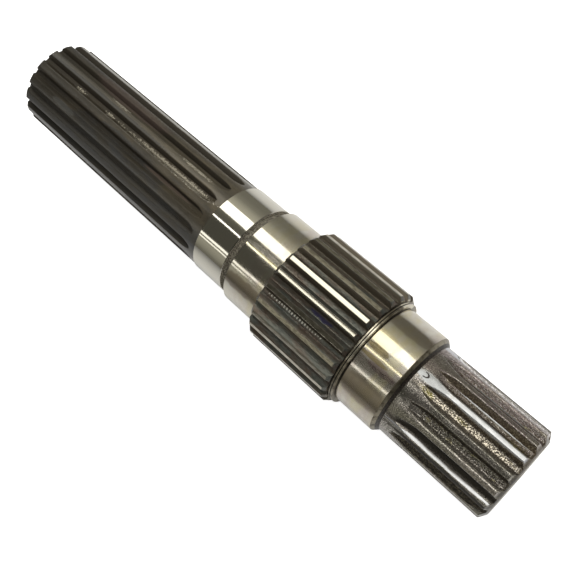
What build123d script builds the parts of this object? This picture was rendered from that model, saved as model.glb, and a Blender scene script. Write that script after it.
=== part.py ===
# A stepped drive shaft of hardened steel, turned, splined and ground from one bar.
# It lies along X, with its short spline at -X and its long spline at +X.
# The row's origin is under the middle of the shaft, on the surface that its large spline rests on.
from build123d import *
import math
import os

# Lengths, in order from the short end.
SHORT_SPLINE_LENGTH = 54.0  # from the face to the foot of the neck
SHORT_FULL_DEPTH_LENGTH = 37.5
NECK_LENGTH = 2.5  # the cone that rises to the front journal
FRONT_JOURNAL_LENGTH = 20.0
COLLAR_LENGTH = 2.1
RELIEF_LENGTH = 0.4
LARGE_SPLINE_LENGTH = 46.6
REAR_JOURNAL_LENGTH = 20.4
RING_SEAT_LENGTH = 4.0
OUTER_JOURNAL_LENGTH = 18.4
LONG_SPLINE_LENGTH = 131.6
LONG_FULL_DEPTH_LENGTH = 121.8  # back from the far face

# Diameters, and the steps from them.
JOURNAL_D = 50.0  # the front and rear bearing journals
OUTER_D = 47.0
COLLAR_HEIGHT = 2.0  # above the front journal
RELIEF_DEPTH = 0.5  # below the collar
RING_SEAT_DEPTH = 1.5  # below the outer journal

# The involute splines. A land is the width of a tooth along its tip circle,
# and a spline's pitch circle lies its addendum below the tips.
PRESSURE_ANGLE = 30.0
SHORT_TEETH = 16
SHORT_TIP_D = 45.0
SHORT_TOOTH_DEPTH = 2.5
SHORT_ADDENDUM = 2.5
SHORT_LAND = 2.2
LARGE_TEETH = 24
LARGE_TIP_D = 59.0
LARGE_TOOTH_DEPTH = 2.4
LARGE_ADDENDUM = 1.3
LARGE_LAND = 2.2
LONG_TEETH = 16
LONG_TIP_D = 46.0
LONG_TOOTH_DEPTH = 2.4
LONG_ADDENDUM = 1.0
LONG_LAND = 4.0

# The turn of a spline about the shaft, from a tooth on top, looking from the short end.
SHORT_TURN = 9.7
LONG_TURN = -6.8

# Cutters, chamfers, the neck's fillet and the centre holes.
SHORT_CUTTER_R = 27.0
LONG_CUTTER_R = 9.5
SHORT_CHAMFER_LENGTH = 2.2  # along the shaft
SHORT_CHAMFER_DROP = 3.6  # across it
LONG_CHAMFER = 1.2
LARGE_CHAMFER = 1.5
OUTER_CHAMFER = 0.4
NECK_FILLET = 1.6
CENTRE_CONE_D = 8.5
CENTRE_DRILL_D = 4.0
CENTRE_DRILL_DEPTH = 10.0
CENTRE_ANGLE = 60.0
OVERSHOOT = 1.0  # how far a cutting shape stands out of the metal

# Stations along the shaft, measured from the face at its short end.
front_start = SHORT_SPLINE_LENGTH + NECK_LENGTH
front_end = front_start + FRONT_JOURNAL_LENGTH
collar_end = front_end + COLLAR_LENGTH
large_start = collar_end + RELIEF_LENGTH
large_end = large_start + LARGE_SPLINE_LENGTH
rear_end = large_end + REAR_JOURNAL_LENGTH
ring_seat_end = rear_end + RING_SEAT_LENGTH
outer_end = ring_seat_end + OUTER_JOURNAL_LENGTH
length = outer_end + LONG_SPLINE_LENGTH

# Radii of the turned outline.
journal_r = JOURNAL_D / 2
collar_r = journal_r + COLLAR_HEIGHT
relief_r = collar_r - RELIEF_DEPTH
outer_r = OUTER_D / 2
ring_seat_r = outer_r - RING_SEAT_DEPTH
short_tip_r = SHORT_TIP_D / 2
large_tip_r = LARGE_TIP_D / 2
long_tip_r = LONG_TIP_D / 2

# The large spline stands on its two lowest teeth, on the inner edges of their lands.
large_pitch = 360 / LARGE_TEETH
large_turn = 180 - large_pitch / 2
lowest_edge = math.radians(large_pitch / 2) - LARGE_LAND / LARGE_TIP_D
axis_height = large_tip_r * math.cos(lowest_edge)
shaft_axis = Axis((-length / 2, 0, axis_height), (1, 0, 0))
lengthwise = Plane(shaft_axis.position, x_dir=(1, 0, 0), z_dir=(0, -1, 0))


def cross_plane(station):
    """The plane across the shaft at a station: its x points to +Y, its y points up."""
    return Plane(
        shaft_axis.position + Vector(station, 0, 0), x_dir=(0, 1, 0), z_dir=(1, 0, 0)
    )


def involute(radius, base_radius):
    """The involute function of the pressure angle at a radius, in radians."""
    angle = math.acos(base_radius / radius)
    return math.tan(angle) - angle


def tooth_space(station, teeth, tip_r, depth, addendum, land):
    """The section of one tooth space at a station, straight above the axis."""
    base_radius = (tip_r - addendum) * math.cos(math.radians(PRESSURE_ANGLE))

    def flank_point(radius, side):
        """A point of the space's flank: the tooth's half angle grows as the involute closes."""
        opened = involute(tip_r, base_radius) - involute(radius, base_radius)
        half_angle = math.pi / teeth - land / tip_r / 2 - opened
        return (side * radius * math.sin(half_angle), radius * math.cos(half_angle))

    root_radius = tip_r - depth
    outer_radius = tip_r + OVERSHOOT
    middle_radius = (root_radius + outer_radius) / 2
    radii = (outer_radius, middle_radius, root_radius)
    with BuildSketch(cross_plane(station)) as section:
        with BuildLine():
            left = ThreePointArc(*[flank_point(r, -1) for r in radii])
            right = ThreePointArc(*[flank_point(r, 1) for r in radii])
            ThreePointArc(left @ 1, (0, root_radius), right @ 1)
            Line(left @ 0, right @ 0)
        make_face()
    return section.sketch


def turned_copies(space, teeth, turn):
    """One copy of a cutting shape for each space, half a pitch from the first tooth."""
    pitch = 360 / teeth
    return [space.rotate(shaft_axis, turn + (k + 0.5) * pitch) for k in range(teeth)]


def cutter_axis(station, root_r, cutter_r):
    """The axis of the round cutter that has reached full depth at a station."""
    centre = cross_plane(station).from_local_coords((0, root_r + cutter_r, 0))
    return Axis(centre, (0, 1, 0))


def runout(depth, cutter_r):
    """The turn in degrees that lifts a cutter from full depth to clear of the tips."""
    return math.degrees(math.acos(1 - (depth + OVERSHOOT) / cutter_r))


# The short spline's tooth space: straight from the face, then up along the hob's radius.
short_station = SHORT_FULL_DEPTH_LENGTH
short_section = tooth_space(
    short_station, SHORT_TEETH, short_tip_r, SHORT_TOOTH_DEPTH, SHORT_ADDENDUM, SHORT_LAND
)
short_root_r = short_tip_r - SHORT_TOOTH_DEPTH
with BuildPart() as short_space:
    extrude(short_section, amount=-short_station - OVERSHOOT)
    revolve(
        short_section,
        axis=cutter_axis(short_station, short_root_r, SHORT_CUTTER_R).reverse(),
        revolution_arc=runout(SHORT_TOOTH_DEPTH, SHORT_CUTTER_R),
    )

# The large spline's tooth space starts in the relief beside the collar and runs clear.
large_station = large_start - RELIEF_LENGTH / 2
large_section = tooth_space(
    large_station, LARGE_TEETH, large_tip_r, LARGE_TOOTH_DEPTH, LARGE_ADDENDUM, LARGE_LAND
)
with BuildPart() as large_space:
    extrude(large_section, amount=large_end - large_station + OVERSHOOT)

# The long spline's tooth space: a short round run-out, then straight to the far face.
long_station = length - LONG_FULL_DEPTH_LENGTH
long_section = tooth_space(
    long_station, LONG_TEETH, long_tip_r, LONG_TOOTH_DEPTH, LONG_ADDENDUM, LONG_LAND
)
long_root_r = long_tip_r - LONG_TOOTH_DEPTH
with BuildPart() as long_space:
    extrude(long_section, amount=LONG_FULL_DEPTH_LENGTH + OVERSHOOT)
    revolve(
        long_section,
        axis=cutter_axis(long_station, long_root_r, LONG_CUTTER_R),
        revolution_arc=runout(LONG_TOOTH_DEPTH, LONG_CUTTER_R),
    )

# The shaft: half its turned outline is spun about the axis, then the splines are cut.
with BuildPart() as shaft:
    with BuildSketch(lengthwise):
        neck_foot = (SHORT_SPLINE_LENGTH, short_tip_r)
        with BuildLine():
            Polyline(
                (0, 0),
                (0, short_tip_r - SHORT_CHAMFER_DROP),
                (SHORT_CHAMFER_LENGTH, short_tip_r),
                neck_foot,
                (front_start, journal_r),
                (front_end, journal_r),
                (front_end, collar_r),
                (collar_end, collar_r),
                (collar_end, relief_r),
                (large_start, relief_r),
                (large_start, large_tip_r - LARGE_CHAMFER),
                (large_start + LARGE_CHAMFER, large_tip_r),
                (large_end - LARGE_CHAMFER, large_tip_r),
                (large_end, large_tip_r - LARGE_CHAMFER),
                (large_end, journal_r),
                (rear_end, journal_r),
                (rear_end, ring_seat_r),
                (ring_seat_end, ring_seat_r),
                (ring_seat_end, outer_r),
                (outer_end - OUTER_CHAMFER, outer_r),
                (outer_end, outer_r - OUTER_CHAMFER),
                (outer_end, long_tip_r),
                (length - LONG_CHAMFER, long_tip_r),
                (length, long_tip_r - LONG_CHAMFER),
                (length, 0),
                close=True,
            )
        make_face()
        fillet(vertices().sort_by_distance((*neck_foot, 0))[0], NECK_FILLET)
    revolve(axis=shaft_axis)
    add(turned_copies(short_space.part, SHORT_TEETH, SHORT_TURN), mode=Mode.SUBTRACT)
    add(turned_copies(large_space.part, LARGE_TEETH, large_turn), mode=Mode.SUBTRACT)
    add(turned_copies(long_space.part, LONG_TEETH, LONG_TURN), mode=Mode.SUBTRACT)
    # Centre holes, from which the shaft was turned and ground.
    for end_face in (faces().sort_by(Axis.X)[0], faces().sort_by(Axis.X)[-1]):
        with Locations(Plane(end_face.center(), z_dir=end_face.normal_at())):
            CounterSinkHole(
                CENTRE_DRILL_D / 2,
                CENTRE_CONE_D / 2,
                depth=CENTRE_DRILL_DEPTH,
                counter_sink_angle=CENTRE_ANGLE,
            )
shaft.part.label = "shaft"

os.makedirs("parts", exist_ok=True)
export_step(shaft.part, "parts/shaft.step")
box = shaft.part.bounding_box()
print(f"axis height {axis_height:.3f}, lowest point {box.min.Z:.4f}")
print(f"box {box.size.X:.2f} x {box.size.Y:.2f} x {box.size.Z:.2f}, volume {shaft.part.volume:.0f}")
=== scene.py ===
# %% [markdown]
# # A splined machine shaft
#
# The real object is one bar of hardened steel, 300 mm long. It was turned to its steps, its
# three splines were cut or rolled, it was heat-treated, and its three bearing journals were
# ground bright afterwards. It has been in use: its teeth are worn, pitted and stained.
#
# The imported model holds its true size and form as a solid. Here one surface stands for that
# solid, worked out with numpy, so that every edge can be broken as a real one is, and every
# finish knows where it lies. Lengths are in millimetres and are turned to metres at the end.

# %% Load the frame
import math
from collections import namedtuple

import bpy
import numpy as np
from mathutils import Matrix, Quaternion, Vector


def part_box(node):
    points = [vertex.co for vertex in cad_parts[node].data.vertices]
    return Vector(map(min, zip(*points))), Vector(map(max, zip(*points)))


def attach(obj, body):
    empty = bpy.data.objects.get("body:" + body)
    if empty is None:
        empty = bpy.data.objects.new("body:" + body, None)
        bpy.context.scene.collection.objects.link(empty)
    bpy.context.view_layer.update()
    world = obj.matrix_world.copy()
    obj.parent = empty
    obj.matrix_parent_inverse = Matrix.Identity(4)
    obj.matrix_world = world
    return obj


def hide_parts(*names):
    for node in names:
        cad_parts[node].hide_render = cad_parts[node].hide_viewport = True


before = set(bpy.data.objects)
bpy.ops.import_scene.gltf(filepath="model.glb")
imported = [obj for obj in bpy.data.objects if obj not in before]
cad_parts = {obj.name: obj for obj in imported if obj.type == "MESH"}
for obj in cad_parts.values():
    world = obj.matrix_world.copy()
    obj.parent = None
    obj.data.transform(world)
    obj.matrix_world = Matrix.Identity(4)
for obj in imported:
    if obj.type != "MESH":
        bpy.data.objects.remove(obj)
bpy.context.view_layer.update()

MM = 0.001
low, high = (np.array(corner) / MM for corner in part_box("shaft"))
LENGTH = high[0] - low[0]
AXIS_HEIGHT = (low[2] + high[2]) / 2
print(f"the shaft is {LENGTH:.1f} mm long, and its axis lies {AXIS_HEIGHT:.2f} mm up")

# %% [markdown]
# ## The camera
#
# The photograph looks down on the shaft from beyond its short end, so the short end is near
# and the long spline runs away. The camera could be placed by eye, but a shaft has straight
# edges and round shoulders, and these fix it: its place and lens were fitted to them.

# %% The camera
SENSOR_WIDTH = 36.0
LENS = 50.87
CAMERA_PLACE = Vector((-0.1547, 0.0492, 0.3663))
CAMERA_AIM = Vector((-0.02117, 0.00292, 0.02937))
CAMERA_ROLL = math.radians(-28.37)

camera_data = bpy.data.cameras.new("camera")
camera_data.sensor_width = SENSOR_WIDTH
camera_data.lens = LENS
camera = bpy.data.objects.new("camera", camera_data)
bpy.context.collection.objects.link(camera)
level_view = (CAMERA_AIM - CAMERA_PLACE).to_track_quat("-Z", "Y")
rolled_view = level_view @ Quaternion((0, 0, 1), CAMERA_ROLL)
camera.matrix_world = Matrix.Translation(CAMERA_PLACE) @ rolled_view.to_matrix().to_4x4()
bpy.context.scene.camera = camera
print(f"the camera is {(CAMERA_AIM - CAMERA_PLACE).length * 1000:.0f} mm from the shaft")

# %% [markdown]
# ## The tooth spaces
#
# A spline's flanks are involutes, the curve that a taut string's end draws as it unwinds
# from the base circle. A hob or a rack cuts the space between two teeth, so the space is the
# shape to describe: its half width at each radius. Straight flanks would look nearly the
# same, but the involute keeps the surface on the solid.

# %% Three splines
PRESSURE_ANGLE = math.radians(30)

# The land is in mm along the tip circle, the turn in degrees of one tooth's centre, and the
# hollow is how far the floor sinks to its middle, as a share of the tooth's height.
Spline = namedtuple("Spline", "teeth tip_r root_r pitch_r land turn hollow")
SHORT = Spline(16, tip_r=22.5, root_r=20.0, pitch_r=20.0, land=2.2, turn=9.7, hollow=0.06)
LARGE = Spline(24, tip_r=29.5, root_r=27.1, pitch_r=28.2, land=2.2, turn=7.5, hollow=0.03)
LONG = Spline(16, tip_r=23.0, root_r=20.6, pitch_r=22.0, land=4.0, turn=15.7, hollow=0.03)


def involute(radius, base_r):
    """inv(a) = tan(a) - a, where the pressure angle a at a radius has cos(a) = base / radius."""
    angle = np.arccos(base_r / radius)
    return np.tan(angle) - angle


def half_space(spline, radius):
    """Half a space's width at a radius: r sin(half a pitch - half the tooth's angle there)."""
    base_r = spline.pitch_r * math.cos(PRESSURE_ANGLE)
    opened = involute(spline.tip_r, base_r) - involute(radius, base_r)
    half_tooth = spline.land / spline.tip_r / 2 + opened
    return radius * np.sin(math.pi / spline.teeth - half_tooth)


for spline in (SHORT, LARGE, LONG):
    floor_width = 2 * half_space(spline, spline.root_r)
    print(f"{spline.teeth} teeth: the space is {floor_width:.2f} mm wide at its floor")

# %% [markdown]
# ## The outline
#
# A turned part is one outline spun about its axis. Each corner below is a station along the
# shaft, a radius, and how many rows of the surface lead to the next corner. Ground edges are
# broken by a fraction of a millimetre, because a sharp edge would chip and cut, and that thin
# break is what draws a bright line round each step.

# %% Sizes of the outline
CENTRE_DEPTH = 10.0
CENTRE_DRILL_R = 2.0
CENTRE_CONE_R = 4.25
CENTRE_CONE_DEPTH = (CENTRE_CONE_R - CENTRE_DRILL_R) / math.tan(math.radians(30))
JOURNAL_R = 25.0
OUTER_R = 23.5
COLLAR_R = 27.0
RELIEF_R = 26.5
RING_SEAT_R = 22.0
EDGE_BREAK = 0.22
SHORT_CHAMFER = 2.2  # along the shaft
SHORT_CHAMFER_DROP = 3.6  # across it
NEXT_ROW = 0.7  # from the chamfer to a first row that keeps its shading apart
SHORT_FULL = 37.5
SHORT_CUTTER_R = 27.0
NECK_FOOT = 54.0
NECK_FILLET = 1.6
# where the neck's dark paste ends: grime, and painted shade at the neck's foot
NECK_GRIME_SHADE_END = 55.2
FRONT_START = 56.5
UNDERCUT_START = 76.05  # where the grinding wheel ran out beside the collar
UNDERCUT_DEPTH = 0.25
UNDERCUT_SLOPE = 0.1
FRONT_END = 76.5
COLLAR_GROOVE = 77.3
COLLAR_GROOVE_WIDTH = 0.55
COLLAR_GROOVE_DEPTH = 0.35
GROOVE_SLOPE = 0.15
COLLAR_END = 78.6
LARGE_START = 79.0
LARGE_END = 125.6
LARGE_CHAMFER = 1.5
REAR_END = 146.0
# Painted shade: the dark paste up to here also stands for the shade beside the rear journal's wall.
SEAT_SHADE_END = 147.5  # the ring seat is oily and dark up to here, and dusty beyond
RING_SEAT_END = 150.0
OUTER_END = 168.4
OUTER_CHAMFER = 0.4
LONG_FULL = 178.2
LONG_CUTTER_R = 9.5
LONG_CHAMFER = 1.2
BELOW_FLOOR = 0.05  # keeps a face's inner row clear of the tooth spaces' floors

short_runout = math.sqrt(SHORT_CUTTER_R**2 - (SHORT_CUTTER_R - SHORT.tip_r + SHORT.root_r) ** 2)
long_runout = math.sqrt(LONG_CUTTER_R**2 - (LONG_CUTTER_R - LONG.tip_r + LONG.root_r) ** 2)
print(f"the cutters run out over {short_runout:.1f} mm and {long_runout:.1f} mm")

# %% Corners of the outline
chamfer_at_root = SHORT_CHAMFER * (1 - (SHORT.tip_r - SHORT.root_r) / SHORT_CHAMFER_DROP)
neck_start = NECK_FOOT - NECK_FILLET * math.tan(math.radians(22.5))
neck_arc = [
    (neck_start + NECK_FILLET * math.sin(turn), SHORT.tip_r + NECK_FILLET * (1 - math.cos(turn)), 1)
    for turn in np.radians((15, 30, 45))
]
groove_end = COLLAR_GROOVE + COLLAR_GROOVE_WIDTH
groove_r = COLLAR_R - COLLAR_GROOVE_DEPTH

corners = [
    (CENTRE_DEPTH, CENTRE_DRILL_R, 1),
    (CENTRE_CONE_DEPTH, CENTRE_DRILL_R, 1),
    (0.0, CENTRE_CONE_R, 2),
    (0.0, SHORT.tip_r - SHORT_CHAMFER_DROP, 1),
    (chamfer_at_root, SHORT.root_r, 3),
    (SHORT_CHAMFER, SHORT.tip_r, 1),
    (SHORT_CHAMFER + NEXT_ROW, SHORT.tip_r, 7),
    (SHORT_FULL, SHORT.tip_r, 10),
    (SHORT_FULL + short_runout, SHORT.tip_r, 2),
    (neck_start, SHORT.tip_r, 1),
    *neck_arc,
    (NECK_GRIME_SHADE_END, SHORT.tip_r + NECK_GRIME_SHADE_END - NECK_FOOT, 1),
    (FRONT_START - EDGE_BREAK, JOURNAL_R - EDGE_BREAK, 1),
    (FRONT_START + EDGE_BREAK, JOURNAL_R, 1),
    (FRONT_START + 2 * EDGE_BREAK, JOURNAL_R, 7),
    (UNDERCUT_START, JOURNAL_R, 1),
    (UNDERCUT_START + UNDERCUT_SLOPE, JOURNAL_R - UNDERCUT_DEPTH, 1),
    (FRONT_END, JOURNAL_R - UNDERCUT_DEPTH, 1),
    (FRONT_END, COLLAR_R - EDGE_BREAK, 1),
    (FRONT_END + EDGE_BREAK, COLLAR_R, 1),
    (COLLAR_GROOVE, COLLAR_R, 1),
    (COLLAR_GROOVE + GROOVE_SLOPE, groove_r, 1),
    (groove_end - GROOVE_SLOPE, groove_r, 1),
    (groove_end, COLLAR_R, 1),
    (COLLAR_END - EDGE_BREAK, COLLAR_R, 1),
    (COLLAR_END, COLLAR_R - EDGE_BREAK, 1),
    (COLLAR_END, RELIEF_R, 1),
    (LARGE_START, RELIEF_R, 1),
    (LARGE_START, LARGE.root_r - BELOW_FLOOR, 1),
    (LARGE_START, LARGE.tip_r - LARGE_CHAMFER, 3),
    (LARGE_START + LARGE_CHAMFER, LARGE.tip_r, 6),
    (LARGE_END - LARGE_CHAMFER, LARGE.tip_r, 3),
    (LARGE_END, LARGE.tip_r - LARGE_CHAMFER, 1),
    (LARGE_END, LARGE.root_r - BELOW_FLOOR, 1),
    (LARGE_END, JOURNAL_R, 7),
    (REAR_END - EDGE_BREAK, JOURNAL_R, 1),
    (REAR_END, JOURNAL_R - EDGE_BREAK, 1),
    (REAR_END, RING_SEAT_R, 1),
    (SEAT_SHADE_END, RING_SEAT_R, 2),
    (RING_SEAT_END, RING_SEAT_R, 1),
    (RING_SEAT_END, OUTER_R - EDGE_BREAK, 1),
    (RING_SEAT_END + EDGE_BREAK, OUTER_R, 7),
    (OUTER_END - OUTER_CHAMFER, OUTER_R, 1),
    (OUTER_END, OUTER_R - OUTER_CHAMFER, 1),
    (OUTER_END, LONG.tip_r, 2),
    (LONG_FULL - long_runout, LONG.tip_r, 10),
    (LONG_FULL, LONG.tip_r, 14),
    (LENGTH - LONG_CHAMFER, LONG.tip_r, 2),
    (LENGTH, LONG.tip_r - LONG_CHAMFER, 1),
    (LENGTH, LONG.root_r - BELOW_FLOOR, 2),
    (LENGTH, CENTRE_CONE_R, 1),
    (LENGTH - CENTRE_CONE_DEPTH, CENTRE_DRILL_R, 1),
    (LENGTH - CENTRE_DEPTH, CENTRE_DRILL_R, 1),
]


def rows_between(start, end):
    """Rows on the straight line from one corner up to, not including, the next."""
    share = np.arange(start[2])[:, None] / start[2]
    return np.array(start[:2]) + share * (np.array(end[:2]) - np.array(start[:2]))


outline = np.vstack([rows_between(a, b) for a, b in zip(corners, corners[1:])] + [corners[-1][:2]])
station, radius = outline.T[:, :, None]
print(f"the outline has {len(outline)} rows")

# %% [markdown]
# ## One surface for the whole shaft
#
# The surface is a grid: rows follow the outline, columns go round. A plain grid would cut the
# tooth edges into steps, so the columns are bent to follow them: in each half pitch some lie
# on the land, some on the flank and some on the space's floor. Between two splines they slide
# from one layout to the other, which can't be seen on a plain journal.

# %% Columns of half a pitch
COLUMNS = 768  # 24 teeth of 32 columns, or 16 teeth of 48
LAND_SHARES = {24: (0, 0.25, 0.5, 0.72, 0.88, 1), 16: (0, 0.16, 0.32, 0.48, 0.64, 0.78, 0.9, 1)}
FLANK_HEIGHTS = {24: (0.93, 0.8, 0.5, 0.22, 0.09, 0), 16: (0.95, 0.87, 0.7, 0.5, 0.3, 0.15, 0.05, 0)}
FLOOR_SHARES = {24: (0.86, 0.65, 0.4, 0.2, 0), 16: (0.92, 0.8, 0.65, 0.5, 0.35, 0.22, 0.12, 0.05, 0)}
CORNER_DROP = {24: 0.05, 16: 0.10}  # mm that wear took off the corners of the lands
FOOT_RISE = {SHORT: 0.10, LARGE: 0.10, LONG: 0.05}  # mm of fillet at the flanks' feet
SOFTENING = np.array((0.3, 1, 0.3))  # a corner's share in the middle, and its neighbours'


def half_pitch_layout(spline):
    """The columns from a land's centre to a space's centre.

    Each has its share of the half land, its height between floor and tip, its share of the
    half floor, which is hollow: height = hollow * share^2, and its softening in mm.
    """
    teeth = spline.teeth
    land, floor = LAND_SHARES[teeth], FLOOR_SHARES[teeth]
    flank = spline.hollow + (1 - spline.hollow) * np.array(FLANK_HEIGHTS[teeth])
    share = np.append(land, np.ones(len(flank) + len(floor)))
    across = np.append(np.ones(len(land) + len(flank)), floor)
    height = np.concatenate([np.ones(len(land)), flank, spline.hollow * np.square(floor)])
    corner, foot = len(land) - 1, len(land) + len(flank) - 1
    soft = np.zeros(len(share))
    soft[corner - 1 : corner + 2] -= SOFTENING * CORNER_DROP[teeth]
    soft[foot - 1 : foot + 2] += SOFTENING * FOOT_RISE[spline]
    return share, height, across, soft


for spline in (SHORT, LARGE, LONG):
    print(f"{len(half_pitch_layout(spline)[0])} columns lead from a land to a space of {spline.teeth} teeth")

# %% [markdown]
# ## Run-outs
#
# A round cutter leaves a run-out: past the end of full depth the space climbs along the
# cutter's radius until it leaves the metal. It could be cut with a round shape, as in the
# solid. Here it is enough to know how high the cutter has climbed at each station.

# %% Run-outs
CLIMB_END = 0.7  # as a share of the cutter's radius, past where it leaves the metal


def climb(past, cutter_r):
    """How high a round cutter has climbed: R - sqrt(R^2 - past^2)."""
    past = np.clip(past, 0, CLIMB_END * cutter_r)
    return cutter_r - np.sqrt(cutter_r**2 - past**2)


short_lift = climb(station - SHORT_FULL, SHORT_CUTTER_R)
long_lift = climb(LONG_FULL - station, LONG_CUTTER_R)
print(f"the cutters climb {short_lift.max():.1f} mm and {long_lift.max():.1f} mm, clear of the teeth")

# %% [markdown]
# ## A spline's surface
#
# All teeth of a spline are alike, so one layout of columns and a few sums make it: where a
# column lies across the land or the space, how high it stands there, and what the cutter's
# climb adds. All rows and columns are reckoned at once, as arrays.

# %% A spline's surface
FLANK_LEAST = 0.25  # mm of flank that are kept where a row lies below the floor
COAST_FROM = {SHORT: 0.7, LARGE: 0.3, LONG: 0.8}  # the share of the floor where that side begins


def ease(value, start, end):
    """0 before start, 1 after end, and 3 t^2 - 2 t^3 between."""
    t = np.clip((value - start) / (end - start), 0, 1)
    return t * t * (3 - 2 * t)


def spline_surface(spline, lift):
    """The angle and radius of every grid point, as if this spline ran the whole length.

    A flank point at radius r lies half_space(r) from the space's middle. Where the cutter has
    lifted it, its radius is r + lift, at the angle asin(half_space(r) / (r + lift)). The
    outline cuts everything off that is larger. The third result is the coast side's share.
    """
    share, height, across, soft = half_pitch_layout(spline)
    top = np.maximum(radius - lift, spline.root_r + FLANK_LEAST)
    top = np.minimum(top, spline.tip_r)
    cut_r = spline.root_r + height * (top - spline.root_r)
    width_r = np.maximum(cut_r, spline.root_r + spline.hollow * (top - spline.root_r))
    from_space = np.arcsin(half_space(spline, width_r) / (width_r + lift))
    half_pitch = math.pi / spline.teeth
    on_land = share * (half_pitch - from_space)
    in_space = half_pitch - across * from_space
    from_land = np.where(height == 1, on_land, in_space)
    depth = np.clip((radius - lift - spline.root_r) / (spline.tip_r - spline.root_r), 0, 1)
    surface_r = np.minimum(cut_r + lift, radius) + soft * depth
    surface_r = np.where(height == 1, radius + soft * depth, np.minimum(surface_r, radius))
    angle = np.hstack([from_land, 2 * half_pitch - from_land[:, -2:0:-1]])
    surface_r = np.hstack([surface_r, surface_r[:, -2:0:-1]])
    coast = ease(across, COAST_FROM[spline], 1) * (height < 1)
    coast = np.append(np.zeros(len(coast)), coast[-2:0:-1])
    teeth_turned = 2 * half_pitch * np.arange(spline.teeth)
    angle = (angle[:, None, :] + teeth_turned[:, None]).reshape(len(angle), -1)
    surface_r = np.tile(surface_r, (1, spline.teeth))
    return angle + math.radians(spline.turn), surface_r, np.tile(coast, spline.teeth)


short_angle, short_r, short_coast = spline_surface(SHORT, short_lift)
large_angle, large_r, large_coast = spline_surface(LARGE, np.zeros_like(station))
long_angle, long_r, long_coast = spline_surface(LONG, long_lift)
print(f"each spline gives {short_r.shape[0]} rows of {short_r.shape[1]} columns")

# %% [markdown]
# ## Three splines on one shaft
#
# Each spline holds its own stretch of the shaft. On the journals between them the columns
# turn from one layout to the next. Three separate surfaces would be easier, but then the
# shaft would fall into pieces at its shoulders.

# %% Three splines on one shaft
COAST_DEPTHS = (0.02, 0.35)  # mm below the outline between which the coast side sets in
to_large = ease(station, FRONT_START, FRONT_END)
to_long = ease(station, LARGE_END, OUTER_END)
angle = short_angle * (1 - to_large) + large_angle * (to_large - to_long) + long_angle * to_long
on_short = station < FRONT_START
on_large = (station >= LARGE_START) & (station <= LARGE_END)
on_long = station >= OUTER_END
surface_r = np.broadcast_to(radius, angle.shape)
surface_r = np.where(on_short, short_r, surface_r)
surface_r = np.where(on_large, large_r, surface_r)
surface_r = np.where(on_long, long_r, surface_r)
depth = radius - surface_r
coast = on_short * short_coast + on_large * large_coast + on_long * long_coast
coast = coast * ease(depth, *COAST_DEPTHS)
print(f"the tooth spaces reach {depth.max():.2f} mm below the outline")

# %% [markdown]
# ## Points
#
# Each grid point has a station, a radius and an angle, which give its place: the station runs
# along X from the short end, and the angle turns from straight up towards -Y. Two more points
# lie on the axis, at the bottoms of the centre holes.

# %% Points
stations = np.broadcast_to(station, angle.shape)
grid_points = np.stack(
    [
        stations - LENGTH / 2,
        -surface_r * np.sin(angle),
        AXIS_HEIGHT + surface_r * np.cos(angle),
    ],
    axis=-1,
).reshape(-1, 3)
poles = [
    (CENTRE_DEPTH - LENGTH / 2, 0, AXIS_HEIGHT),
    (LENGTH / 2 - CENTRE_DEPTH, 0, AXIS_HEIGHT),
]
points = np.vstack([grid_points, poles]) * MM
print(f"{len(points)} points, the lowest {points[:, 2].min() / MM:.3f} mm above the table")

# %% [markdown]
# ## Grid to mesh
#
# The rows are joined by four-sided faces that close round the shaft, and each centre hole
# ends in a fan of triangles, so nothing is left open. A modifier could round the edges, but
# the rows and columns already lie where an edge is broken. Two measures go along as
# attributes, because only this step knows them: how deep a point lies below the turned
# outline, and whether it is on the coast side of a tooth, the side that doesn't drive.

# %% Grid to mesh
SHARP_FROM = math.radians(33)  # flatter corners look rounded, as a worn edge does
row_count = len(outline)
index = np.arange(row_count * COLUMNS).reshape(row_count, COLUMNS)
after = np.roll(index, -1, axis=1)
quads = np.stack([index[:-1], after[:-1], after[1:], index[1:]], axis=-1).reshape(-1, 4)
first_pole, last_pole = row_count * COLUMNS, row_count * COLUMNS + 1
first_fan = np.stack([after[0], index[0], np.full(COLUMNS, first_pole)], axis=-1)
last_fan = np.stack([index[-1], after[-1], np.full(COLUMNS, last_pole)], axis=-1)

mesh = bpy.data.meshes.new("steel_shaft")
mesh.from_pydata(points.tolist(), [], quads.tolist() + first_fan.tolist() + last_fan.tolist())
mesh.validate()
shaft = bpy.data.objects.new("steel_shaft", mesh)
bpy.context.collection.objects.link(shaft)
mesh.shade_smooth()
mesh.set_sharp_from_angle(angle=SHARP_FROM)
for name, values in (("depth", depth), ("coast", coast)):
    layer = mesh.attributes.new(name, "FLOAT", "POINT")
    layer.data.foreach_set("value", np.append(values.ravel(), (0.0, 0.0)).astype(np.float32))
mesh.calc_loop_triangles()
print(f"the shaft's surface has {len(mesh.loop_triangles)} triangles")

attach(shaft, "root")
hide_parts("shaft")

# %% [markdown]
# ## Nodes and colours
#
# Colours are written as a painter or a web page has them, in sRGB, and one function turns
# them to the linear values that a renderer works with. One more function adds a node with
# its settings and links, so that a material reads as a list of what it is made of.

# %% Helpers for materials


def linear(hex_colour):
    """sRGB to linear: c / 12.92 for dark values, else ((c + 0.055) / 1.055) ^ 2.4."""
    channels = [int(hex_colour[i : i + 2], 16) / 255 for i in (1, 3, 5)]
    return [c / 12.92 if c <= 0.04045 else ((c + 0.055) / 1.055) ** 2.4 for c in channels] + [1]


MODES = {
    "Math": "operation",
    "VectorMath": "operation",
    "Mix": "data_type",
    "MapRange": "interpolation_type",
}


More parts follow.
